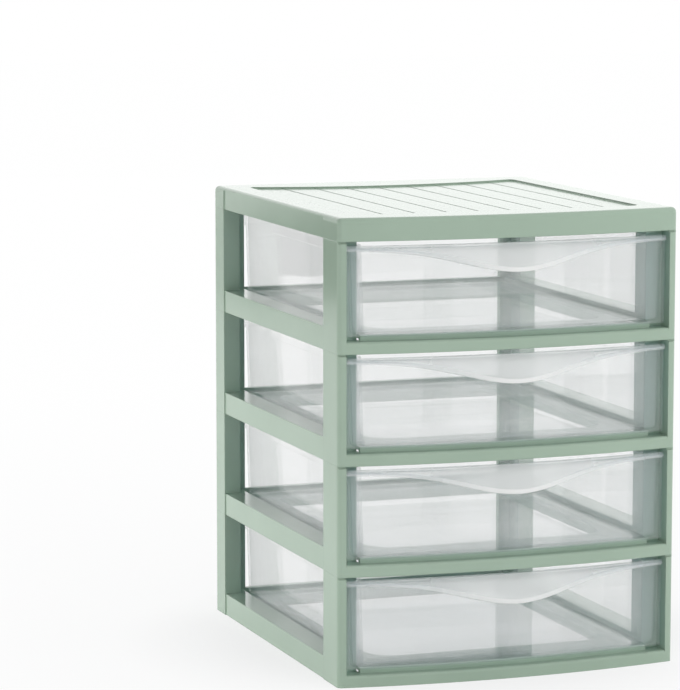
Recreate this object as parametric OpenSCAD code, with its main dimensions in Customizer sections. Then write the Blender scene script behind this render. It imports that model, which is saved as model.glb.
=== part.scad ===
// Desktop unit of four small drawers: four stacking tier frames, a cover and four clear drawers.
// Millimetres. X runs across the front, -Y points out of the front and Z is up.
// The origin is on the ground under the middle of the footprint, pulls included.

/* [Cabinet] */
// Width over the corner posts
body_w = 180; // [150:1:240]
// Depth from the front corners to the back
body_d = 198; // [160:1:260]
// How far the front swells out past its corners
front_bow = 8; // [4:0.5:14]
// Height of one tier
tier_h = 55; // [46:1:90]
// Height of the cover
cover_h = 11.5; // [10:0.5:18]
// Radius of the upright corners
corner_r = 2.5; // [1.5:0.5:4]
// Thickness of the opaque walls
wall = 2; // [1.6:0.1:2.4]

/* [Posts] */
// Depth of a front post's side face
front_post_d = 21.6; // [19:0.2:30]
// Width of a front post behind its leaf
front_post_w = 12.8; // [11:0.2:18]
// Width of the leaf that stands beside the drawer's panel
leaf_w = 4.2; // [3.4:0.2:6]
// Depth of that leaf
leaf_d = 9; // [8:0.5:12]
// Depth of a rear post's side face
rear_post_d = 16.5; // [12:0.5:24]
// Width of a rear post's side leg
rear_post_w = 9; // [7.5:0.5:12]
// Width of a rear post over its back leaf
back_leaf_w = 15.5; // [13:0.5:20]
// Depth of that back leaf
back_leaf_d = 4; // [3.5:0.5:8]
// Height of the plug on top of a post
plug_h = 6; // [4:0.5:7]
// Gap round a plug in its socket
plug_gap = 0.3; // [0.1:0.05:0.5]
// Height and depth of the shadow groove at the head of a front post
reveal = 1; // [0.6:0.1:1.5]

/* [Rails] */
// Height of the side and rear rails
rail_h = 11.5; // [10.5:0.5:16]
// How far the side and rear rails sit back from the posts
rail_inset = 0.5; // [0.2:0.1:1]
// Height of the front sill
sill_h = 6; // [5:0.5:7.5]
// Radius of the sill's front edge
sill_r = 1.2; // [0.6:0.2:2]
// Height of the deck that a drawer slides on
deck_h = 8.7; // [8.3:0.1:9.7]
// Thickness of the deck
deck_t = 1.8; // [1.4:0.1:2.2]
// Width of the deck round its opening
deck_rim = 14; // [8:1:24]
// Corner radius of the deck's opening
opening_r = 14; // [6:1:20]
// Depth of the lip under the opening's edge
lip_h = 2.5; // [1:0.5:4]
// Bays between the ribs under a side rail
rail_bays = 4; // [2:1:6]

/* [Drawers] */
// Thickness of a drawer's walls and floor
box_wall = 1.4; // [1.2:0.1:2]
// Thickness of the front panel
panel_t = 2; // [1.6:0.1:2.4]
// How far the panel sits back from the sill's front
panel_setback = 3.5; // [2.5:0.5:5]
// Gap between the panel and the leaf at each side
panel_side_gap = 1; // [0.5:0.1:2]
// How far the box's wide front part sits in from the panel's ends
front_inset = 2.2; // [1.6:0.1:4]
// Gap over the panel and the box
panel_top_gap = 2.5; // [1:0.1:3.5]
// Gap between the panel and the sill
panel_sill_gap = 2.2; // [0.4:0.1:2.6]
// Gap that stops the box's shoulders, and the panel, short of what is behind them
panel_stop_gap = 0.5; // [0.3:0.1:1]
// Gap between the box's rim and the posts at each side
box_side_gap = 0.6; // [0.4:0.1:1.5]
// Gap between the box's rim and the rear posts' back leaf
box_rear_gap = 0.6; // [0.4:0.1:2]
// Running gap between the box and the deck
run_gap = 0.3; // [0.2:0.1:0.6]
// Height of the stiff rim round the box
rim_h = 7; // [3:0.5:9]
// How far the rim stands out from the walls
rim_out = 0.9; // [0.4:0.1:1.5]
// How far each wall leans in from rim to floor
draft = 1.2; // [0.4:0.1:3]
// Radius of the box's rear corners
box_r = 5; // [3:0.5:12]
// Radius of the corners at its shoulders
shoulder_r = 1.8; // [1.5:0.1:3]
// Radius between the floor and the walls, outside
floor_r = 3; // [2:0.5:5]

/* [Pull] */
// How far the hood hangs below the panel's top at the middle
pull_drop = 13.8; // [10:0.2:20]
// How far the hood stands out from the panel at the middle
pull_out = 9; // [6:0.5:14]
// Half the width over which the hood flares
pull_spread = 40; // [20:1:50]
// Height of the band that the hood fades into
band_h = 2.6; // [1.6:0.2:4]
// How far that band stands out from the panel
band_out = 0.8; // [0.4:0.1:1.4]
// Height of the upright lip along the hood's edge
pull_lip = 2; // [1:0.2:3]
// Thickness of the hood
pull_t = 1.6; // [1.2:0.1:2]

/* [Cover] */
// Radius of the cover's top edge
edge_r = 2.5; // [1:0.5:3]
// Margin at the sides of the sunk field
field_side = 14; // [8:1:24]
// Margin behind the sunk field, at its corners
field_rear = 16; // [8:1:24]
// How far the field's rear edge bows towards the front at its middle
field_bow = 14; // [0:1:18]
// Margin in front of the sunk field
field_front = 14; // [8:1:24]
// Corner radius of the sunk field
field_r = 5; // [2:1:10]
// Depth of the sunk field
field_sink = 0.8; // [0.4:0.1:1]
// Planks across the field
planks = 9; // [4:1:14]
// Width of the groove between two planks
groove_w = 0.9; // [0.6:0.1:1.5]
// Depth of that groove
groove_h = 0.5; // [0.3:0.1:0.6]
// Thickness of the cover's top under the field
top_t = 1.6; // [1.2:0.1:3]

/* [Hidden] */

sage = [0.64, 0.72, 0.66];
clear = [0.86, 0.88, 0.89, 0.4];

eps = 0.01;                    // overlap that keeps cuts clean
big = 400;                     // longer than any side of the unit

// The footprint: the back, the front corners and the arc that swells out between them
half_w = body_w / 2;
pull_reach = max(0, pull_out - panel_setback);
y_back = (body_d + front_bow + pull_reach) / 2;
y_corner = y_back - body_d;
y_peak = y_corner - front_bow;
bow_r = (half_w * half_w + front_bow * front_bow) / (2 * front_bow);
bow_y = y_peak + bow_r;        // centre of the arc
corner_x = half_w - corner_r;  // centre of a rounded upright corner
corner_y = bow_y - sqrt(pow(bow_r - corner_r, 2) - pow(corner_x, 2));
corner_turn = asin(corner_x / (bow_r - corner_r));

// Lines that the posts, rails and drawers share
post_face_y = y_corner + leaf_d;           // where a front post widens behind its leaf
post_back_y = y_corner + front_post_d;
bay_x = half_w - front_post_w;             // clear half width between the front posts
leaf_x = half_w - leaf_w;
rear_post_y = y_back - rear_post_d;
bay_back_y = y_back - back_leaf_d;         // clear depth ends here

// The drawer's own lines
panel_r = bow_r - panel_setback;           // front of the panel
panel_back_r = panel_r - panel_t;
panel_x = leaf_x - panel_side_gap;
panel_z0 = sill_h + panel_sill_gap;
panel_z1 = tier_h - panel_top_gap;
deck_r = panel_back_r - panel_stop_gap;    // front edge of the deck
floor_z = deck_h + run_gap;
rim_x = bay_x - box_side_gap;
rim_y = bay_back_y - box_rear_gap;
box_x = rim_x - rim_out;                   // outside of a side wall at the rim
box_y = rim_y - rim_out;
front_x = panel_x - front_inset;           // outside of the box's wide front part
shoulder_y = post_face_y - panel_stop_gap; // back of its shoulders

// ---------- outlines ----------

// Rectangle between two corners, with rounded corners
module soft_rect(x0, y0, x1, y1, r, facets = 48) {
    translate([x0 + r, y0]) square([x1 - x0 - 2 * r, y1 - y0]);
    translate([x0, y0 + r]) square([x1 - x0, y1 - y0 - 2 * r]);
    for (x = [x0 + r, x1 - r], y = [y0 + r, y1 - r]) translate([x, y]) circle(r = r, $fn = facets);
}

// Rectangle between two corners
module rect(x0, y0, x1, y1) {
    translate([x0, y0]) square([x1 - x0, y1 - y0]);
}

// The same shape on the left and on the right
module both_sides() {
    children();
    mirror([1, 0]) children();
}

// Everything behind an arc that runs parallel to the bowed front
module behind_arc(r) {
    translate([0, bow_y]) circle(r = r, $fn = 256);
}

// Footprint with rounded corners and the bowed front
module footprint() {
    reach = corner_r + 2 * front_bow;
    fan_x = corner_x + reach * sin(corner_turn);
    fan_y = corner_y - reach * cos(corner_turn);
    intersection() {
        behind_arc(bow_r);
        polygon([[-corner_x, corner_y], [-fan_x, fan_y], [fan_x, fan_y], [corner_x, corner_y]]);
    }
    rect(-half_w, corner_y, half_w, y_back - corner_r);
    rect(-corner_x, y_back - 2 * corner_r, corner_x, y_back);
    for (x = [-corner_x, corner_x], y = [corner_y, y_back - corner_r]) {
        translate([x, y]) circle(r = corner_r, $fn = 48);
    }
}

// Points round the footprint, drawn in by a distance of up to the corner radius
function footprint_points(inset, n = 24, k = 5) = let (r = corner_r - inset) concat(
    [for (i = [-n:n]) let (a = corner_turn * i / n)
        [(bow_r - inset) * sin(a), bow_y - (bow_r - inset) * cos(a)]],
    [for (i = [1:k]) let (a = -90 + corner_turn + (90 - corner_turn) * i / k)
        [corner_x + r * cos(a), corner_y + r * sin(a)]],
    [for (i = [0:k]) let (a = 90 * i / k)
        [corner_x + r * cos(a), y_back - corner_r + r * sin(a)]],
    [for (i = [0:k]) let (a = 90 + 90 * i / k)
        [-corner_x + r * cos(a), y_back - corner_r + r * sin(a)]],
    [for (i = [0:k - 1]) let (a = 180 + (90 - corner_turn) * i / k)
        [-corner_x + r * cos(a), corner_y + r * sin(a)]]
);

// The four posts seen from above: a stepped one at each front corner, an angle at each rear corner
module post_outline() {
    intersection() {
        footprint();
        both_sides() {
            rect(leaf_x, y_peak, half_w, post_face_y);
            rect(bay_x, post_face_y, half_w, post_back_y);
            rect(half_w - rear_post_w, rear_post_y, half_w, y_back);
            rect(half_w - back_leaf_w, bay_back_y, half_w, y_back);
        }
    }
}

// The hollow of each post, drawn in by a gap for the plug that fits it
module post_hollow(gap = 0) {
    grow = wall + gap;
    both_sides() {
        rect(bay_x + grow, post_face_y + grow, half_w - grow, post_back_y - grow);
        rect(half_w - rear_post_w + grow, rear_post_y + grow, half_w - grow, y_back - grow);
    }
}

// Shallow strips that set the side and rear rails back between the posts
module rail_recess() {
    both_sides() rect(half_w - rail_inset, post_back_y, half_w + 1, rear_post_y);
    rect(-half_w + back_leaf_w, y_back - rail_inset, half_w - back_leaf_w, y_back + 1);
}

// ---------- tier frame ----------

// Everything that stands as high as the rails
module rail_outline() {
    intersection() {
        footprint();
        union() {
            both_sides() rect(bay_x, post_face_y, half_w, y_back);
            rect(-half_w, bay_back_y, half_w, y_back);
        }
    }
}

// The deck between the rails
module deck_outline(shrink = 0) {
    intersection() {
        behind_arc(deck_r - shrink);
        rect(-bay_x, y_peak, bay_x, bay_back_y);
    }
}

module deck_opening(grow = 0) {
    soft_rect(
        -bay_x + deck_rim - grow, post_face_y + deck_rim - grow,
        bay_x - deck_rim + grow, bay_back_y - deck_rim + grow,
        opening_r + grow
    );
}

// Hollows on the underside of the rails and the sill
module side_pockets() {
    y0 = post_back_y;
    pitch = (rear_post_y - y0) / rail_bays;
    both_sides() for (i = [0:rail_bays - 1]) {
        rect(bay_x + wall, y0 + i * pitch + wall / 2, half_w - rail_inset - wall, y0 + (i + 1) * pitch - wall / 2);
    }
}

module sill_pocket() {
    intersection() {
        difference() {
            behind_arc(bow_r - wall);
            behind_arc(deck_r);
        }
        rect(-leaf_x + wall, y_peak, leaf_x - wall, post_face_y);
    }
}

// Tool that rounds the sill's front edge between the leaves
module sill_rounding() {
    turn = 2 * asin((leaf_x + 1) / bow_r);
    translate([0, bow_y, sill_h - sill_r]) rotate([0, 0, -90 - turn / 2])
        rotate_extrude(angle = turn, $fn = 256) translate([bow_r - sill_r, 0]) difference() {
            square(sill_r + 1);
            circle(r = sill_r, $fn = 48);
        }
}

module tier_frame(tier) {
    color(sage) translate([0, 0, (tier - 1) * tier_h]) difference() {
        union() {
            difference() {
                linear_extrude(sill_h) footprint();
                sill_rounding();
            }
            linear_extrude(deck_h) deck_outline();
            linear_extrude(rail_h) rail_outline();
            linear_extrude(tier_h) post_outline();
            translate([0, 0, tier_h - eps]) linear_extrude(plug_h + eps) post_hollow(plug_gap);
        }
        translate([0, 0, -1]) linear_extrude(rail_h + 2) rail_recess();
        translate([0, 0, -1]) linear_extrude(big) deck_opening();
        translate([0, 0, -1]) linear_extrude(tier_h - wall + 1) post_hollow();
        translate([0, 0, -1]) linear_extrude(rail_h - wall + 1) side_pockets();
        translate([0, 0, -1]) linear_extrude(sill_h - wall + 1) sill_pocket();
        translate([0, 0, -1]) linear_extrude(deck_h - deck_t + 1) difference() {
            deck_outline(wall);
            deck_opening(wall);
        }
        translate([0, 0, -1]) linear_extrude(deck_h - deck_t - lip_h + 1) intersection() {
            deck_outline(wall);
            deck_opening(wall + eps);
        }
        translate([0, 0, tier_h - reveal]) linear_extrude(reveal + plug_h) difference() {
            rect(-half_w - 1, y_peak - 1, half_w + 1, corner_y + leaf_d / 2);
            behind_arc(bow_r - reveal);
        }
    }
}

// ---------- cover ----------

// Solid body of the cover, drawn in all round, with its top edge rounded by a stack of outlines
module cover_body(inset = 0, steps = 5) {
    hull() {
        linear_extrude(cover_h - edge_r) polygon(footprint_points(inset));
        for (i = [1:steps]) let (a = 90 * i / steps, lean = inset + edge_r * (1 - cos(a))) {
            translate([0, 0, cover_h - edge_r]) linear_extrude(edge_r * sin(a))
                polygon(footprint_points(min(lean, corner_r - eps)));
        }
    }
}

// The sunk field: its rear edge bows towards the front between the two rear corners
module field_outline(steps = 14) {
    w = half_w - field_side;
    rear = y_back - field_rear;
    difference() {
        soft_rect(-w, y_corner + field_front, w, rear, field_r);
        polygon(concat(
            [for (i = [-steps:steps]) let (u = i / steps) [(w + eps) * u, rear - field_bow * (1 - u * u)]],
            [[w + 1, rear + 1], [-w - 1, rear + 1]]
        ));
    }
}

module top_cover() {
    plank_w = (body_w - 2 * field_side) / planks;
    color(sage) translate([0, 0, 4 * tier_h]) difference() {
        cover_body();
        // the sides and the back sit in line with the rails under them
        difference() {
            translate([0, 0, -1]) linear_extrude(cover_h + 2) rail_recess();
            cover_body(rail_inset);
        }
        // the field and its grooves
        translate([0, 0, cover_h - field_sink]) linear_extrude(big) field_outline();
        translate([0, 0, cover_h - field_sink - groove_h]) linear_extrude(big) intersection() {
            field_outline();
            for (i = [1:planks - 1]) let (x = -half_w + field_side + i * plank_w) {
                rect(x - groove_w / 2, -big, x + groove_w / 2, big);
            }
        }
        // the hollow under the top, clear of the corner blocks
        translate([0, 0, -1]) linear_extrude(cover_h - field_sink - groove_h - top_t + 1) difference() {
            intersection() {
                behind_arc(bow_r - wall);
                rect(-half_w + wall, y_peak, half_w - wall, y_back - wall);
            }
            post_outline();
        }
        translate([0, 0, -1]) linear_extrude(plug_h + 2) post_hollow();
    }
}

// ---------- drawer ----------

// One level of the tapered box, drawn in from its size at the rim. The front part is wide: it fills
// the space between the leaves, and its shoulders step in round the posts to the narrow part.
module box_level(z, inset, wide, h = eps) {
    side = (wide ? front_x : box_x) - inset;
    back = wide ? shoulder_y - max(inset, 0) : box_y - inset;
    r = wide ? shoulder_r : box_r - inset / 2;
    translate([0, 0, z]) linear_extrude(h) soft_rect(-side, y_peak - 2 * box_r, side, back, r, 24);
}

// Either part as a solid with a rounded floor edge, drawn in by a wall's thickness for its inside
module box_solid(z0, z1, inset, wide, steps = 3) {
    r = floor_r - inset;
    hull() {
        for (i = [0:steps]) let (a = 90 * i / steps) {
            box_level(z0 + r * (1 - cos(a)), draft + inset + r * (1 - sin(a)), wide);
        }
        box_level(z1 - eps, inset, wide);
    }
}

// Shape of the hood along the panel: 1 in the middle, fading to 0 at the sides
function flare(x) = exp(-pow(x / pull_spread, 2));
function hood_drop(x) = band_h + (pull_drop - band_h) * flare(x);
function hood_out(x) = band_out + (pull_out - band_out) * flare(x);

// One section of the hood at x, as [out from the panel, down from its top] points:
// a rounded brow, a swelling slope, an upright lip, and back up the inside
function hood_section(x, steps = 5) = let (
    out = hood_out(x),
    drop = hood_drop(x),
    brow = min(0.9, out / 2),
    lip = min(pull_lip, drop / 2),
    sink = panel_t / 2,
    foot = drop - lip,
    slope = [for (i = [0:steps]) let (s = i / steps)
        [brow + (out - brow) * pow(s, 0.85), brow + (foot - brow) * s]],
    across = pull_t * sqrt(1 + pow((out - brow) / (foot - brow), 2))
) concat(
    [[-sink, 0], [brow * 0.4, 0], [brow * 0.85, brow * 0.35]],
    slope,
    [[out, drop - 0.4], [out - 0.4, drop], [max(out - pull_t, -sink), drop]],
    [for (i = [steps:-1:1]) [max(slope[i][0] - across, -sink), slope[i][1]]]
);

// The hood as one closed skin swept along the bowed panel
module hood(stations = 48) {
    reach = asin(panel_x / panel_r);
    sections = [for (i = [-stations / 2:stations / 2])
        let (a = reach * 2 * i / stations, x = panel_r * sin(a))
        [for (p = hood_section(x)) [
            (panel_r + p[0]) * sin(a),
            bow_y - (panel_r + p[0]) * cos(a),
            panel_z1 - p[1]
        ]]];
    m = len(sections[0]);
    points = [for (s = sections) each s];
    skin = [for (i = [0:stations - 1], j = [0:m - 1]) each [
        [i * m + j, (i + 1) * m + (j + 1) % m, i * m + (j + 1) % m],
        [i * m + j, (i + 1) * m + j, (i + 1) * m + (j + 1) % m]
    ]];
    ends = [[for (j = [0:m - 1]) j], [for (j = [m - 1:-1:0]) stations * m + j]];
    polyhedron(points = points, faces = concat(skin, ends), convexity = 6);
}

// The bowed front panel
module panel() {
    translate([0, 0, panel_z0]) linear_extrude(panel_z1 - panel_z0) intersection() {
        difference() {
            behind_arc(panel_r);
            behind_arc(panel_back_r);
        }
        rect(-panel_x, y_peak, panel_x, post_face_y);
    }
}

// The open box behind the panel
module box() {
    intersection() {
        difference() {
            union() {
                for (wide = [false, true]) {
                    box_solid(floor_z, panel_z1, 0, wide);
                    box_level(panel_z1 - rim_h, -rim_out, wide, rim_h);
                }
            }
            for (wide = [false, true]) box_solid(floor_z + box_wall, panel_z1 + 1, box_wall, wide);
        }
        linear_extrude(tier_h) behind_arc(panel_back_r + panel_t / 2);
    }
}

module drawer(tier) {
    color(clear) translate([0, 0, (tier - 1) * tier_h]) {
        box();
        panel();
        hood();
    }
}

module tier_frame_1() { tier_frame(1); }
module tier_frame_2() { tier_frame(2); }
module tier_frame_3() { tier_frame(3); }
module tier_frame_4() { tier_frame(4); }
module drawer_1() { drawer(1); }
module drawer_2() { drawer(2); }
module drawer_3() { drawer(3); }
module drawer_4() { drawer(4); }

tier_frame_1();
tier_frame_2();
tier_frame_3();
tier_frame_4();
top_cover();
drawer_1();
drawer_2();
drawer_3();
drawer_4();
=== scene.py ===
# %% [markdown]
# # A desktop unit of mini drawers, finished for a studio picture
#
# The unit is an injection-moulded product: four sage-green tier frames stacked
# on corner posts, a cover on top, and four clear drawers that slide on the frames.
# The pieces come from a CAD model and keep its places and sizes. This lesson gives
# them their finishes, adds what only a picture shows, and lights them.

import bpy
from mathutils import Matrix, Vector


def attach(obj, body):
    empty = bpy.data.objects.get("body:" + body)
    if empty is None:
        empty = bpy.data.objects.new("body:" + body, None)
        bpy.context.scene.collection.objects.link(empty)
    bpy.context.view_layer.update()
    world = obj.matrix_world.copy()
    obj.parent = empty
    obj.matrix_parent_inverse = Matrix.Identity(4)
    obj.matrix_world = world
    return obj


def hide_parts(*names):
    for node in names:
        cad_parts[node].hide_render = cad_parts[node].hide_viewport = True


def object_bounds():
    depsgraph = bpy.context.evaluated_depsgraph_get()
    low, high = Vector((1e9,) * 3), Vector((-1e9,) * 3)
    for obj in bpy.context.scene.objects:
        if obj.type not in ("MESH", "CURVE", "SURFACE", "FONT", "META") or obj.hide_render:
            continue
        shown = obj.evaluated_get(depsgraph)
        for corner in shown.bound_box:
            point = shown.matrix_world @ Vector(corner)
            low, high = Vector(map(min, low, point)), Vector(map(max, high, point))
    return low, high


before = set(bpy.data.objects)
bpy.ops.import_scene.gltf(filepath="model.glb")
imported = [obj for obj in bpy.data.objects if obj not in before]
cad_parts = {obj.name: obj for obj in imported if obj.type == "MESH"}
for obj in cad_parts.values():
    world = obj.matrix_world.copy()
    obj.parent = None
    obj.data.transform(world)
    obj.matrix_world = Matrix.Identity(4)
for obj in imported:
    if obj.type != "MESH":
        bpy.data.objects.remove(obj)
cad_low, cad_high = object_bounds()

# %% [markdown]
# ## Helpers
#
# Everything is in metres, because the frame is. A small name for a millimetre keeps
# real sizes readable. Colours are written as sRGB hex values, the way a paint chart
# gives them, and one function turns them into the linear values that shaders use.

# %% Helpers
import math

import bmesh
import bpy

MM = 0.001


def linear(hex_colour, alpha=1.0):
    """An sRGB hex colour such as '#a0b0a4' as a linear RGBA tuple."""
    parts = [int(hex_colour[i:i + 2], 16) / 255 for i in (1, 3, 5)]
    return tuple(p / 12.92 if p <= 0.04045 else ((p + 0.055) / 1.055) ** 2.4 for p in parts) + (alpha,)


def add(tree, kind, settings=None, **links):
    """Adds a node. settings sets its properties and its sockets' values, and links joins its inputs."""
    node = tree.nodes.new(kind)
    for name, value in (settings or {}).items():
        if isinstance(name, str) and hasattr(node, name):
            setattr(node, name, value)
        else:
            node.inputs[name].default_value = value
    for name, source in links.items():
        socket = node.inputs[int(name[1:])] if name[0] == "_" else node.inputs[name.replace("_", " ")]
        tree.links.new(source, socket)
    return node


def new_material(name):
    """An empty node material and its tree."""
    material = bpy.data.materials.new(name)
    material.use_nodes = True
    material.node_tree.nodes.clear()
    return material, material.node_tree


def either(tree, first, second):
    """1 where one of two yes-or-no values is 1."""
    return add(tree, "ShaderNodeMath", {"operation": "MAXIMUM"}, _0=first, _1=second).outputs[0]


def looks_out(tree):
    """1 for the rays that show the surroundings: from the lens, mirrored, or through something clear."""
    ray = add(tree, "ShaderNodeLightPath").outputs
    mirrored_or_lens = either(tree, ray["Is Camera Ray"], ray["Is Glossy Ray"])
    return either(tree, mirrored_or_lens, ray["Is Transmission Ray"])


print("linear sage:", [round(c, 3) for c in linear("#a9bdae")[:3]])

# %% [markdown]
# ## The camera
#
# The photograph was taken with a long lens from a little above the top, from the
# left of the front. The direction was worked out from the unit's upright and level
# edges. A long lens keeps the tiers almost parallel, so the focal length matters as
# much as the place.

# %% Camera
camera_data = bpy.data.cameras.new("camera")
camera_data.lens = 176.0
camera_data.sensor_width = 36.0
camera_data.clip_end = 30.0
camera = bpy.data.objects.new("camera", camera_data)
camera.location = (-633.1 * MM, -1616.6 * MM, 385.8 * MM)
LOOK_DOWN = 7.595
TURN_RIGHT = 19.645
camera.rotation_euler = (math.radians(90 - LOOK_DOWN), 0, math.radians(-TURN_RIGHT))
bpy.context.scene.collection.objects.link(camera)
bpy.context.scene.camera = camera
print("camera at", tuple(round(c, 3) for c in camera.location))

# %% [markdown]
# ## Studio: background, floor and lamps
#
# The product stands on a white sweep, under an even white sky of strength one. Rays
# from the lens, and those mirrored by or passing through the product, see that same
# white behind it. Three soft lamps model the shape: a small one low on the left, one
# in front on the right and a broad one behind, which the cover's top mirrors.
#
# A white studio alone would leave the shape flat, so two black cards stand in it, as
# a photographer would place them. One is seen only in mirror reflections and darkens
# the upper left side. The other only keeps sky light off the left side. The floor
# near the product is left as paper, which takes its shadow, and fades into plain
# white further out.

# %% Background
world = bpy.data.worlds.new("studio")
bpy.context.scene.world = world
world.use_nodes = True
tree = world.node_tree
tree.nodes.clear()
SKY_LIGHT = 1.0
sky = add(tree, "ShaderNodeBackground", {"Color": linear("#fbfcfd"), "Strength": SKY_LIGHT})
white = add(tree, "ShaderNodeBackground", {"Color": (1, 1, 1, 1), "Strength": 1.0})
mixed = add(tree, "ShaderNodeMixShader", {},
            _0=looks_out(tree), _1=sky.outputs[0], _2=white.outputs[0])
add(tree, "ShaderNodeOutputWorld", {}, Surface=mixed.outputs[0])
bpy.context.scene.view_settings.view_transform = "Standard"
bpy.context.scene.cycles.transparent_max_bounces = 96
bpy.context.scene.cycles.transmission_bounces = 24
bpy.context.scene.cycles.glossy_bounces = 24
bpy.context.scene.cycles.max_bounces = 32
print("sky light", SKY_LIGHT)

# %% Lamps


def soft_lamp(name, place, aim, size, watts, mirrored=False):
    """A square area lamp that looks at a point. The lens can't see it, and mirrors only if asked."""
    data = bpy.data.lights.new(name, "AREA")
    data.size = size
    data.energy = watts
    lamp = bpy.data.objects.new(name, data)
    lamp.location = place
    direction = Vector(aim) - Vector(place)
    lamp.rotation_euler = direction.to_track_quat("-Z", "Y").to_euler()
    lamp.visible_camera = False
    lamp.visible_transmission = False
    lamp.visible_glossy = mirrored
    bpy.context.scene.collection.objects.link(lamp)


MIDDLE = (0, 0, (cad_low.z + cad_high.z) / 2)
soft_lamp("low_left", (-0.6, 0.15, 0.06), MIDDLE, 0.25, 1.3)
soft_lamp("front_right", (0.7, -1.4, 0.12), MIDDLE, 0.6, 2.0)
soft_lamp("back", (0.8, 2.6, 0.8), MIDDLE, 2.4, 5.5, mirrored=True)

# %% Dark cards
card_material, tree = new_material("black_card")
black = add(tree, "ShaderNodeBsdfDiffuse", {"Color": linear("#101110")})
add(tree, "ShaderNodeOutputMaterial", {}, Surface=black.outputs[0])


def dark_card(name, place, turn, scale, hidden_from):
    """A black board that only some kinds of ray meet."""
    bpy.ops.mesh.primitive_plane_add(size=1.0, location=place, rotation=turn)
    board = bpy.context.object
    board.name = name
    board.scale = scale
    board.data.materials.append(card_material)
    for ray in hidden_from:
        setattr(board, f"visible_{ray}", False)


CARD_TURN = math.radians(17.6)
dark_card("mirrored_card", (-1.1, 1.74, 0.002), (0, 0, CARD_TURN), (0.9, 0.95, 1),
          ("camera", "diffuse", "transmission", "shadow"))
dark_card("shading_card", (-0.4, -0.05, 0.5), (0, math.pi / 2, 0), (0.55, 1.2, 1),
          ("camera", "glossy", "transmission"))
print("cards:", card_material.name)

# %% Floor
floor_material, tree = new_material("studio_sweep_matt_paper")
paper = add(tree, "ShaderNodeBsdfDiffuse", {"Color": linear("#f4f5f5"), "Roughness": 0.5})
glow = add(tree, "ShaderNodeEmission", {"Color": (1, 1, 1, 1), "Strength": 1.0})
FLOOR_CENTRE_Y = 2.0
coordinates = add(tree, "ShaderNodeTexCoord")
from_unit = add(tree, "ShaderNodeVectorMath", {"operation": "DISTANCE", 1: (0, -FLOOR_CENTRE_Y, 0)},
                _0=coordinates.outputs["Object"])
fade = add(tree, "ShaderNodeValToRGB", {}, Fac=from_unit.outputs["Value"])
GLOW_STOPS = ((0.06, 0.6), (0.17, 0.88), (0.9, 0.98))
while len(fade.color_ramp.elements) < len(GLOW_STOPS):
    fade.color_ramp.elements.new(0.5)
for element, (distance, glow_share) in zip(fade.color_ramp.elements, GLOW_STOPS):
    element.position = distance
    element.color = (glow_share, glow_share, glow_share, 1)
share = add(tree, "ShaderNodeMath", {"operation": "MULTIPLY"},
            _0=looks_out(tree), _1=fade.outputs["Color"])
mixed = add(tree, "ShaderNodeMixShader", {},
            _0=share.outputs[0], _1=paper.outputs[0], _2=glow.outputs[0])
add(tree, "ShaderNodeOutputMaterial", {}, Surface=mixed.outputs[0])
bpy.ops.mesh.primitive_plane_add(size=8.0, location=(0, FLOOR_CENTRE_Y, 0))
floor = bpy.context.object
floor.name = "studio_floor"
floor.data.materials.append(floor_material)
print("floor under", round(cad_low.z, 4))

# %% [markdown]
# ## Sage polypropylene
#
# The frames and the cover are polypropylene with an opaque pigment, moulded in
# polished steel. That gives a satin surface: a soft, slightly wavy reflection, a
# colour that is even to within a few percent, and small rounded edges that catch
# the light. The waviness is a few millimetres long, as the melt leaves it.

# %% Sage polypropylene
sage_material, tree = new_material("sage_polypropylene_satin")
coordinates = add(tree, "ShaderNodeTexCoord")
FLOW_LENGTH = 45 * MM
flow = add(tree, "ShaderNodeTexNoise", {"Scale": 1 / FLOW_LENGTH, "Detail": 3.0},
           Vector=coordinates.outputs["Object"])
tone = add(tree, "ShaderNodeValToRGB", {}, Fac=flow.outputs["Fac"])
tone.color_ramp.elements[0].position = 0.3
tone.color_ramp.elements[0].color = linear("#a6bba8")
tone.color_ramp.elements[1].position = 0.7
tone.color_ramp.elements[1].color = linear("#abc0ad")
PEEL_LENGTH = 3 * MM
peel = add(tree, "ShaderNodeTexNoise", {"Scale": 1 / PEEL_LENGTH, "Detail": 2.0},
           Vector=coordinates.outputs["Object"])
edge = add(tree, "ShaderNodeBevel", {"samples": 4, "Radius": 0.6 * MM})
ripple = add(tree, "ShaderNodeBump", {"Strength": 0.12, "Distance": 0.15 * MM},
             Height=peel.outputs["Fac"], Normal=edge.outputs["Normal"])
gloss = add(tree, "ShaderNodeMapRange", {"To Min": 0.1, "To Max": 0.15}, Value=peel.outputs["Fac"])
plastic = add(tree, "ShaderNodeBsdfPrincipled", {"IOR": 1.49},
              Base_Color=tone.outputs["Color"], Roughness=gloss.outputs["Result"],
              Normal=ripple.outputs["Normal"])
add(tree, "ShaderNodeOutputMaterial", {}, Surface=plastic.outputs[0])
print("flow", FLOW_LENGTH, "peel", PEEL_LENGTH)
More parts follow.
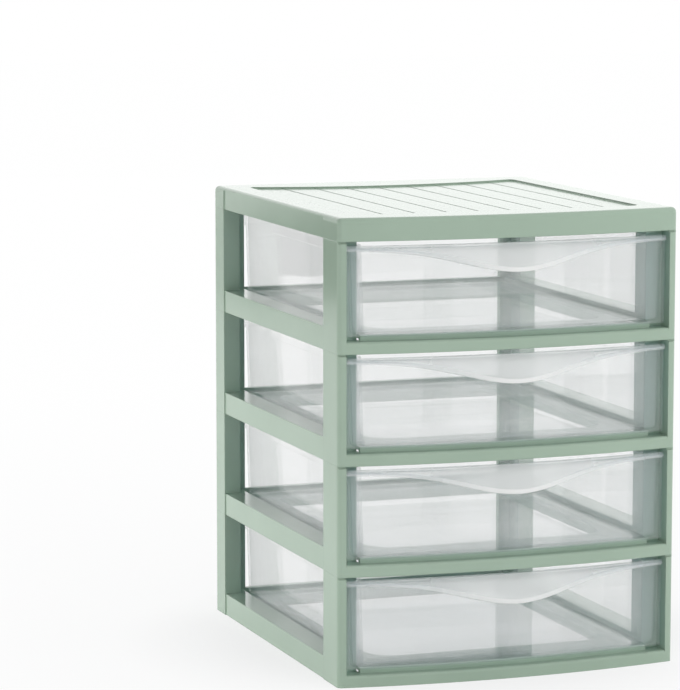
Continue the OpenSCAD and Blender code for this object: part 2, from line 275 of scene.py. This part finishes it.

# %% [markdown]
# ## Clear polystyrene
#
# The drawers are clear polystyrene. Walls this thin pass light almost straight on,
# mirror a little of it by the Fresnel rule, and scatter a trace as haze. Most of the
# shader does just that, and a small share of true refraction bends the light where
# edges and fillets are. The Fresnel node takes light that leaves a wall to be inside
# it, which would mirror everything at a slant, so its index is inverted there.
#
# Rays that carry light to the frames inside, and rays caught bouncing in a wall, are
# passed on with a faint tint, or the inside would go black. A frost attribute roughens
# the hood and whitens its haze, from 0 where it's clear to a half on its slope and 1 on
# its lip; that last step is a painted highlight along the lip.

# %% Clear polystyrene
POLYSTYRENE_IOR = 1.59
clear_material, tree = new_material("clear_polystyrene")
coordinates = add(tree, "ShaderNodeTexCoord")
WAVE_LENGTH, WAVE_DEPTH = 26 * MM, 0.1 * MM
flow = add(tree, "ShaderNodeTexNoise", {"Scale": 1 / WAVE_LENGTH, "Detail": 1.0},
           Vector=coordinates.outputs["Object"])
wavy = add(tree, "ShaderNodeBump", {"Strength": 1.0, "Distance": WAVE_DEPTH}, Height=flow.outputs["Fac"])
frost_and_lip_highlight = add(tree, "ShaderNodeAttribute", {"attribute_name": "frost_and_lip_highlight"})
dull = add(tree, "ShaderNodeMapRange", {"To Min": 0.02, "To Max": 0.5}, Value=frost_and_lip_highlight.outputs["Fac"])
glass = add(tree, "ShaderNodeBsdfPrincipled",
            {"Base Color": linear("#fcfdfc"), "IOR": POLYSTYRENE_IOR, "Transmission Weight": 1.0},
            Roughness=dull.outputs["Result"], Normal=wavy.outputs["Normal"])
# The white veil is the walls' real haze; on the hood's lip, where the frost is full, its extra white is a
# painted highlight.
veil_for_haze_and_lip_highlight = add(tree, "ShaderNodeBsdfDiffuse", {"Color": linear("#fbfaf8")})
haze_and_lip_highlight_share = add(tree, "ShaderNodeMapRange", {"To Min": 0.07, "To Max": 0.9}, Value=frost_and_lip_highlight.outputs["Fac"])
MIRROR_SHARE, STRAIGHT_SHARE = 0.4, 0.88
pass_on = add(tree, "ShaderNodeBsdfTransparent", {"Color": (1, 1, 1, 1)})
mirror = add(tree, "ShaderNodeBsdfGlossy", {"Color": (1, 1, 1, 1), "Roughness": 0.03})
facing = add(tree, "ShaderNodeNewGeometry")
either_side = add(tree, "ShaderNodeMapRange", {"To Min": POLYSTYRENE_IOR, "To Max": 1 / POLYSTYRENE_IOR},
                  Value=facing.outputs["Backfacing"])
fresnel = add(tree, "ShaderNodeFresnel", {}, IOR=either_side.outputs["Result"])
mirrored = add(tree, "ShaderNodeMath", {"operation": "MULTIPLY", 1: MIRROR_SHARE}, _0=fresnel.outputs[0])
straight = add(tree, "ShaderNodeMixShader", {},
               _0=mirrored.outputs[0], _1=pass_on.outputs[0], _2=mirror.outputs[0])
wall = add(tree, "ShaderNodeMixShader", {0: STRAIGHT_SHARE}, _1=glass.outputs[0], _2=straight.outputs[0])
body = add(tree, "ShaderNodeMixShader", {},
           _0=haze_and_lip_highlight_share.outputs["Result"], _1=wall.outputs[0], _2=veil_for_haze_and_lip_highlight.outputs[0])
TRAPPED_DEPTH = 14.0
carry = add(tree, "ShaderNodeBsdfTransparent", {"Color": linear("#e6edf0")})
ray = add(tree, "ShaderNodeLightPath").outputs
trapped = add(tree, "ShaderNodeMath", {"operation": "GREATER_THAN", 1: TRAPPED_DEPTH},
              _0=ray["Ray Depth"])
carried = either(tree, either(tree, ray["Is Shadow Ray"], ray["Is Diffuse Ray"]), trapped.outputs[0])
mixed = add(tree, "ShaderNodeMixShader", {}, _0=carried, _1=body.outputs[0], _2=carry.outputs[0])
add(tree, "ShaderNodeOutputMaterial", {}, Surface=mixed.outputs[0])
print("clear plastic, index", POLYSTYRENE_IOR)

# %% [markdown]
# ## The drawers' tray
#
# Each drawer is modelled again here with the CAD's own sizes but rounder edges, because
# clear plastic shows every edge twice. The tray and the panel are joined into one
# closed moulding afterwards, so no wall is left standing inside another.
#
# The tray is one skin: an outline that steps in round the front posts is drawn at each
# height of the wall's section, up the outside, over the rim and down the inside, and
# neighbouring outlines are joined. Extra rows beside each fillet keep the flat walls'
# shading flat, so they don't act as lenses.

# %% Sizes from the CAD, in millimetres
TIER_HEIGHT = 55.0
ARC_CENTRE_Y = 410.0
PANEL_RADIUS, PANEL_THICK = 506.75, 2.0
PANEL_HALF_WIDTH, PANEL_BOTTOM, PANEL_TOP = 84.8, 8.2, 52.5
TRAY_BOTTOM, TRAY_WALL, TRAY_LEAN, TRAY_FILLET = 9.0, 1.4, 1.2, 3.0
TRAY_FRONT_X, TRAY_SHOULDER_Y, TRAY_X, TRAY_REAR_Y = 83.4, -83.75, 75.7, 100.25
TRAY_REAR_ROUND, SHOULDER_ROUND, NOOK_ROUND = 5.0, 2.8, 2.5
RIM_HEIGHT, RIM_OUT = 7.0, 0.9
SUPPORT = 0.5


def arc_y(radius, x):
    """Where an arc parallel to the bowed front is at x."""
    return ARC_CENTRE_Y - math.sqrt(radius * radius - x * x)


def rounded(corners, steps=7):
    """A path of right-angled corners (x, y, radius), each rounded, with a point just beside each arc."""
    path = [corners[0][:2]]
    for before, (x, y, r), after in zip(corners, corners[1:], corners[2:]):
        a = Vector((before[0] - x, before[1] - y, 0)).normalized()
        b = Vector((after[0] - x, after[1] - y, 0)).normalized()
        here = Vector((x, y, 0))
        turns = [math.pi / 2 * i / steps for i in range(steps + 1)]
        arc = [here + a * (r - r * math.sin(t)) + b * (r - r * math.cos(t)) for t in turns]
        path += [tuple(q[:2]) for q in [here + a * (r + SUPPORT), *arc, here + b * (r + SUPPORT)]]
    return path + [corners[-1][:2]]


def skin(name, points, faces, sharp_angle=38):
    """A mesh from points in millimetres, with outward normals and smooth shading up to an angle."""
    mesh = bpy.data.meshes.new(name)
    mesh.from_pydata([tuple(c * MM for c in q) for q in points], [], faces)
    shape = bmesh.new()
    shape.from_mesh(mesh)
    bmesh.ops.recalc_face_normals(shape, faces=shape.faces)
    shape.to_mesh(mesh)
    shape.free()
    mesh.shade_smooth()
    mesh.set_sharp_from_angle(angle=math.radians(sharp_angle))
    return mesh


def quads(first, second):
    """Faces between two rows of the same number of point numbers."""
    return [(first[i], first[i + 1], second[i + 1], second[i]) for i in range(len(first) - 1)]


# %% The tray
def tray_outline(inset):
    """The tray seen from above, drawn in by a distance, from the left front round to the right."""
    side, narrow = TRAY_FRONT_X - inset, TRAY_X - inset
    back, rear = TRAY_SHOULDER_Y - max(inset, 0), TRAY_REAR_Y - inset
    front = arc_y(PANEL_RADIUS - PANEL_THICK / 2, side)
    right = rounded([(side, front), (side, back, max(SHOULDER_ROUND - inset, 0.3)),
                     (narrow, back, max(NOOK_ROUND + inset, 0.3)),
                     (narrow, rear, TRAY_REAR_ROUND - inset), (0, rear)])
    return [(-x, y) for x, y in right[:-1]] + right[::-1]


def fillet(radius, wall_z, inset, steps=7):
    """Rows (inset, z) from the flat of the floor round the fillet to the foot of the wall."""
    turns = [math.pi / 2 * i / steps for i in range(steps + 1)]
    rows = [(inset + radius * (1 - math.sin(t)), wall_z - radius * math.cos(t)) for t in turns]
    return [(rows[0][0] + SUPPORT, rows[0][1]), *rows, (inset - SUPPORT * WALL_SLOPE, wall_z + SUPPORT)]


WALL_SLOPE = TRAY_LEAN / (PANEL_TOP - TRAY_BOTTOM - TRAY_FILLET)
RIM_BOTTOM = PANEL_TOP - RIM_HEIGHT
fillet_top = TRAY_BOTTOM + TRAY_FILLET
at_rim = TRAY_LEAN - WALL_SLOPE * (RIM_BOTTOM - fillet_top)
outside = fillet(TRAY_FILLET, fillet_top, TRAY_LEAN)
inside = fillet(TRAY_FILLET - TRAY_WALL, fillet_top, TRAY_LEAN + TRAY_WALL)
rim = [(at_rim, RIM_BOTTOM - 0.8), (at_rim, RIM_BOTTOM - 0.3), (at_rim - 0.3, RIM_BOTTOM),
       (-0.6, RIM_BOTTOM), (-0.8, RIM_BOTTOM + 0.1), (-RIM_OUT, RIM_BOTTOM + 0.3),
       (-RIM_OUT, RIM_BOTTOM + 0.8), (-RIM_OUT, PANEL_TOP - 1.0), (-RIM_OUT, PANEL_TOP - 0.5),
       (-0.75, PANEL_TOP - 0.15), (-0.4, PANEL_TOP), (TRAY_WALL - 0.5, PANEL_TOP),
       (TRAY_WALL - 0.15, PANEL_TOP - 0.15), (TRAY_WALL, PANEL_TOP - 0.5), (TRAY_WALL, PANEL_TOP - 1.0)]
rows = outside + rim + inside[::-1]

points, numbers = [], []
for inset, z in rows:
    outline = tray_outline(inset)
    numbers.append(list(range(len(points), len(points) + len(outline))))
    points += [(x, y, z) for x, y in outline]
faces = [f for low_row, high_row in zip(numbers, numbers[1:]) for f in quads(low_row, high_row)]
ARC_STEPS = 48
floor_side = TRAY_FRONT_X - rows[0][0]
floor_edges = []
for row, z in ((numbers[0], rows[0][1]), (numbers[-1], rows[-1][1])):
    xs = [floor_side * (2 * i / ARC_STEPS - 1) for i in range(1, ARC_STEPS)]
    edge_points = list(range(len(points), len(points) + len(xs)))
    points += [(x, arc_y(PANEL_RADIUS - PANEL_THICK / 2, x), z) for x in xs]
    floor_edges.append([row[0], *edge_points, row[-1]])
    faces.append(row + edge_points[::-1])
faces += quads(*floor_edges)
faces += [[row[0] for row in numbers], [row[-1] for row in numbers]]
tray_mesh = skin("tray", points, faces)
print("tray:", len(tray_mesh.vertices), "points")

# %% [markdown]
# ## The panel
#
# The front panel is a slab between two arcs that run parallel to the bowed front, with
# all its edges rounded by half a millimetre, as a mould leaves them.

# %% The panel
EDGE = 0.5


def panel_outline(inset, steps=96):
    """The slab seen from above, drawn in by a distance, as one closed loop."""
    half = PANEL_HALF_WIDTH - inset
    loop = []
    for radius, way in ((PANEL_RADIUS - inset, 1), (PANEL_RADIUS - PANEL_THICK + inset, -1)):
        xs = [half * (2 * i / steps - 1) for i in range(steps + 1)]
        inner = [x for x in xs if abs(x) < half - EDGE]
        ends = [half - EDGE + EDGE * math.sin(t) for t in (0, 0.5, 1.0, 1.35)]
        xs = [-x for x in reversed(ends)] + inner + ends
        for x in xs[::way]:
            trim = EDGE - math.sqrt(max(EDGE ** 2 - max(abs(x) - half + EDGE, 0) ** 2, 0))
            loop.append((x, arc_y(radius - way * trim, x)))
    return loop


levels = [(EDGE, 0), (0.15, 0.15), (0, EDGE), (0, EDGE + SUPPORT)]
heights = [(inset, PANEL_BOTTOM + rise) for inset, rise in levels]
heights += [(inset, PANEL_TOP - rise) for inset, rise in reversed(levels)]
points, numbers = [], []
for inset, z in heights:
    outline = panel_outline(inset)
    numbers.append(list(range(len(points), len(points) + len(outline))))
    points += [(x, y, z) for x, y in outline]
faces = []
for low_row, high_row in zip(numbers, numbers[1:]):
    faces += quads(low_row + low_row[:1], high_row + high_row[:1])
for row in (numbers[0], numbers[-1]):
    half_count = len(row) // 2
    faces += quads(row[:half_count], row[half_count:][::-1])
panel_mesh = skin("panel", points, faces)
print("panel:", len(panel_mesh.vertices), "points")

# %% [markdown]
# ## The flared hood, by rule
#
# The hood along the panel's top edge is the finger pull. Its shape follows one rule: a
# bell curve across the width, 1 in the middle and fading to 0 at the sides, sets how
# far it hangs, how far it stands out, and how its section changes from a thin band at
# the ends to a swelling brow with an upright lip in the middle. Geometry Nodes states
# that rule on a plain grid, whose X runs across the front and Y down the section.

# %% The rule as a node group
hood_group = bpy.data.node_groups.new("hood_by_rule", "GeometryNodeTree")
HOOD_INPUTS = {
    "Stations": 145, "Section Points": 49,
    "Drop": 13.8 * MM, "Reach": 9.0 * MM, "Spread": 40.0 * MM,
    "Band Drop": 2.6 * MM, "Band Reach": 0.8 * MM, "Sink": 1.0 * MM,
    "Radius": PANEL_RADIUS * MM, "Half Width": PANEL_HALF_WIDTH * MM,
    "Arc Centre": ARC_CENTRE_Y * MM, "Top": PANEL_TOP * MM,
}
sockets = {}
for title, value in HOOD_INPUTS.items():
    kind = "NodeSocketInt" if isinstance(value, int) else "NodeSocketFloat"
    sockets[title] = hood_group.interface.new_socket(name=title, in_out="INPUT", socket_type=kind)
sockets["Material"] = hood_group.interface.new_socket(
    name="Material", in_out="INPUT", socket_type="NodeSocketMaterial")
hood_group.interface.new_socket(name="Geometry", in_out="OUTPUT", socket_type="NodeSocketGeometry")
given = hood_group.nodes.new("NodeGroupInput").outputs


def calc(operation, *terms):
    """A math node in the hood's group, with sockets or numbers as its terms."""
    node = hood_group.nodes.new("ShaderNodeMath")
    node.operation = operation
    for place, term in enumerate(terms):
        if isinstance(term, (int, float)):
            node.inputs[place].default_value = term
        else:
            hood_group.links.new(term, node.inputs[place])
    return node.outputs[0]


def blend_by(share, at_zero, at_one):
    """at_zero + (at_one - at_zero) * share, of sockets or numbers."""
    return calc("MULTIPLY_ADD", calc("SUBTRACT", at_one, at_zero), share, at_zero)


def curve_of(source, stops):
    """A smooth curve through the stops, read at the source."""
    node = add(hood_group, "ShaderNodeFloatCurve", {}, Value=source)
    curve = node.mapping.curves[0]
    for _ in stops[2:]:
        curve.points.new(0.5, 0.5)
    for point, stop in zip(curve.points, stops):
        point.location = stop
        point.handle_type = "AUTO_CLAMPED"
    node.mapping.update()
    return node.outputs[0]


# Sections as (along, share of reach, share of drop): brow, swelling slope, lip, turned-in edge
MIDDLE_SECTION = [(0, 0, 0), (0.05, 0, 0), (0.08, 0.04, 0.0), (0.12, 0.085, 0.025), (0.16, 0.12, 0.07),
                  (0.3, 0.34, 0.235), (0.45, 0.54, 0.415), (0.6, 0.735, 0.6), (0.72, 0.885, 0.74),
                  (0.78, 0.96, 0.81), (0.82, 0.99, 0.85), (0.86, 1.0, 0.89), (0.93, 1.0, 0.965),
                  (0.97, 0.985, 0.992), (1, 0.955, 1.0)]
END_SECTION = [(0, 0, 0), (0.05, 0, 0), (0.08, 0.2, 0.0), (0.12, 0.42, 0.05), (0.16, 0.5, 0.15),
               (0.45, 0.78, 0.32), (0.72, 0.96, 0.47), (0.82, 1.0, 0.53), (0.93, 1.0, 0.85),
               (0.97, 0.8, 0.95), (1, 0.5, 1.0)]

grid = add(hood_group, "GeometryNodeMeshGrid", {"Size X": 2.0, "Size Y": 1.0},
           Vertices_X=given["Stations"], Vertices_Y=given["Section Points"])
place = add(hood_group, "GeometryNodeInputPosition")
across_down = add(hood_group, "ShaderNodeSeparateXYZ", {}, Vector=place.outputs[0])
down_section = calc("ADD", across_down.outputs["Y"], 0.5)
half_angle = calc("ARCSINE", calc("DIVIDE", given["Half Width"], given["Radius"]))
angle = calc("MULTIPLY", across_down.outputs["X"], half_angle)
aside = calc("MULTIPLY", given["Radius"], calc("SINE", angle))
flare = calc("EXPONENT", calc("MULTIPLY", calc("POWER", calc("DIVIDE", aside, given["Spread"]), 2), -1))
reach_shape = blend_by(flare, curve_of(down_section, [(v, a) for v, a, b in END_SECTION]),
                       curve_of(down_section, [(v, a) for v, a, b in MIDDLE_SECTION]))
drop_shape = blend_by(flare, curve_of(down_section, [(v, b) for v, a, b in END_SECTION]),
                      curve_of(down_section, [(v, b) for v, a, b in MIDDLE_SECTION]))
reach_here = blend_by(flare, given["Band Reach"], given["Reach"])
drop_here = blend_by(flare, given["Band Drop"], given["Drop"])
seated = add(hood_group, "ShaderNodeMapRange", {"From Max": 0.05, "To Min": 1.0, "To Max": 0.0},
             Value=down_section)
outward = calc("SUBTRACT", calc("MULTIPLY", reach_shape, reach_here),
               calc("MULTIPLY", seated.outputs["Result"], given["Sink"]))
radius_here = calc("ADD", given["Radius"], outward)
where = add(hood_group, "ShaderNodeCombineXYZ", {},
            X=calc("MULTIPLY", radius_here, calc("SINE", angle)),
            Y=calc("SUBTRACT", given["Arc Centre"], calc("MULTIPLY", radius_here, calc("COSINE", angle))),
            Z=calc("SUBTRACT", given["Top"], calc("MULTIPLY", drop_shape, drop_here)))
frost_start = add(hood_group, "ShaderNodeMapRange",
                  {"interpolation_type": "SMOOTHSTEP", "From Min": 0.06, "From Max": 0.12},
                  Value=down_section)
# Frost is a half on the hood's slope and full on its lip; the step up on the lip whitens its haze as a
# painted highlight along the edge.
slope_frost_and_lip_highlight = add(hood_group, "ShaderNodeMapRange",
                {"interpolation_type": "SMOOTHSTEP", "From Min": 0.78, "From Max": 0.84,
                 "To Min": 0.5, "To Max": 1.0}, Value=down_section)
FROST_AT_ENDS = 0.2
fading = blend_by(flare, FROST_AT_ENDS, 1.0)
frosted_with_lip_highlight = calc("MULTIPLY", frost_start.outputs["Result"], slope_frost_and_lip_highlight.outputs["Result"])
frost_and_lip_highlight = add(hood_group, "GeometryNodeStoreNamedAttribute", {"data_type": "FLOAT", "Name": "frost_and_lip_highlight"},
            Geometry=grid.outputs["Mesh"], Value=calc("MULTIPLY", frosted_with_lip_highlight, fading))
shaped = add(hood_group, "GeometryNodeSetPosition", {},
             Geometry=frost_and_lip_highlight.outputs[0], Position=where.outputs[0])
turned = add(hood_group, "GeometryNodeFlipFaces", {}, Mesh=shaped.outputs[0])
real = add(hood_group, "GeometryNodeRealizeInstances", {}, Geometry=turned.outputs[0])
coated = add(hood_group, "GeometryNodeSetMaterial", {},
             Geometry=real.outputs[0], Material=given["Material"])
add(hood_group, "NodeGroupOutput", {}, Geometry=coated.outputs[0])
print("hood rule:", len(hood_group.nodes), "nodes")

# %% Build the hood from the rule
HOOD_THICK = 1.6
grower = bpy.data.objects.new("hood_grower", bpy.data.meshes.new("hood_seed"))
bpy.context.scene.collection.objects.link(grower)
rule = grower.modifiers.new("hood_by_rule", "NODES")
rule.node_group = hood_group
for title, value in HOOD_INPUTS.items():
    rule[sockets[title].identifier] = value
rule[sockets["Material"].identifier] = clear_material
shell = grower.modifiers.new("shell", "SOLIDIFY")
shell.thickness = HOOD_THICK * MM
shell.offset = -1.0
shell.use_even_offset = True
hood_mesh = bpy.data.meshes.new_from_object(grower.evaluated_get(bpy.context.evaluated_depsgraph_get()))
bpy.data.objects.remove(grower)
hood_mesh.shade_smooth()
hood_mesh.set_sharp_from_angle(angle=math.radians(50))
print("hood:", len(hood_mesh.vertices), "points")

# %% [markdown]
# ## One moulding from two, and four drawers from one
#
# Where tray and panel overlap, the real drawer is one wall, so a Boolean makes one
# closed mesh of them. The hood fades into the panel too gently for that: the Boolean
# would leave slivers there that shade black, so it stays a piece of its own, sunk a
# millimetre into the panel. The four drawers are copies, one tier height apart, and
# each rides on its own CAD body, so the joints of the frame move it.

# %% Join tray and panel
def joined(name, meshes):
    """One closed mesh from overlapping ones, with nothing left inside it."""
    bodies = []
    for mesh in meshes:
        bodies.append(bpy.data.objects.new(name, mesh))
        bpy.context.scene.collection.objects.link(bodies[-1])
    for other in bodies[1:]:
        union = bodies[0].modifiers.new("union", "BOOLEAN")
        union.operation = "UNION"
        union.solver = "EXACT"
        union.object = other
    result = bodies[0].evaluated_get(bpy.context.evaluated_depsgraph_get())
    whole = bpy.data.meshes.new_from_object(result)
    for body in bodies:
        bpy.data.objects.remove(body)
    whole.shade_smooth()
    whole.set_sharp_from_angle(angle=math.radians(40))
    return whole


box_mesh = joined("box", [tray_mesh, panel_mesh])
print("box:", len(box_mesh.vertices), "points")

# %% Place a drawer in each of the four tiers
for tier in range(1, 5):
    for part, mesh in (("box", box_mesh), ("hood", hood_mesh)):
        placed = mesh.copy()
        for vertex in placed.vertices:
            vertex.co.z += (tier - 1) * TIER_HEIGHT * MM
        placed.materials.clear()
        placed.materials.append(clear_material)
        piece = bpy.data.objects.new(f"drawer_{tier}_{part}", placed)
        bpy.context.scene.collection.objects.link(piece)
        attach(piece, f"drawer_{tier}")
        if part == "box":
            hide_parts(f"drawer_{tier}")

# %% [markdown]
# ## Finishes for the CAD pieces
#
# The opaque mouldings keep their CAD shapes and take the sage plastic. The CAD drawers
# take the clear one, though their new shapes stand in for them.

# %% Give each piece its finish
for name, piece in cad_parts.items():
    piece.data.materials.clear()
    piece.data.materials.append(clear_material if name.startswith("drawer") else sage_material)
print("finished", sorted(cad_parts))
